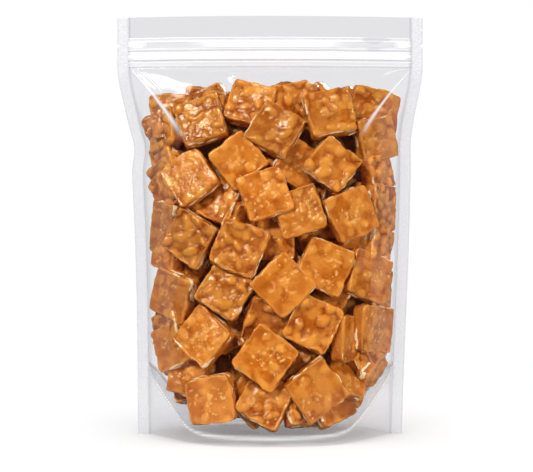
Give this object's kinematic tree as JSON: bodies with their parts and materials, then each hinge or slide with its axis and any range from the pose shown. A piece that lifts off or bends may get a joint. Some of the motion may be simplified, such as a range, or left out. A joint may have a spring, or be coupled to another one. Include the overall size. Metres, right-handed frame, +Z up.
{
  "type": "bag of peanut brittle",
  "caption": "Clear stand-up zip pouch with a round bottom gusset, side seals and tear notches, filled with square caramel-coloured peanut brittle tablets.",
  "frame": {"origin": "middle of the pouch's bottom edge, at the lowest point, where it stands", "axes": "+Z up to the zip and header, +X to the right as seen from the front, front of the pouch toward -Y"},
  "size_m": [0.18, 0.074, 0.245],
  "materials": {
    "film": "clear glossy plastic film",
    "zip": "milky press-to-close zip",
    "brittle": "glossy caramel with peanuts under its surface"
  },
  "bodies": {
    "root": {"pouch": "film", "zip": "zip", "brittle": "brittle"}
  },
  "joints": []
}
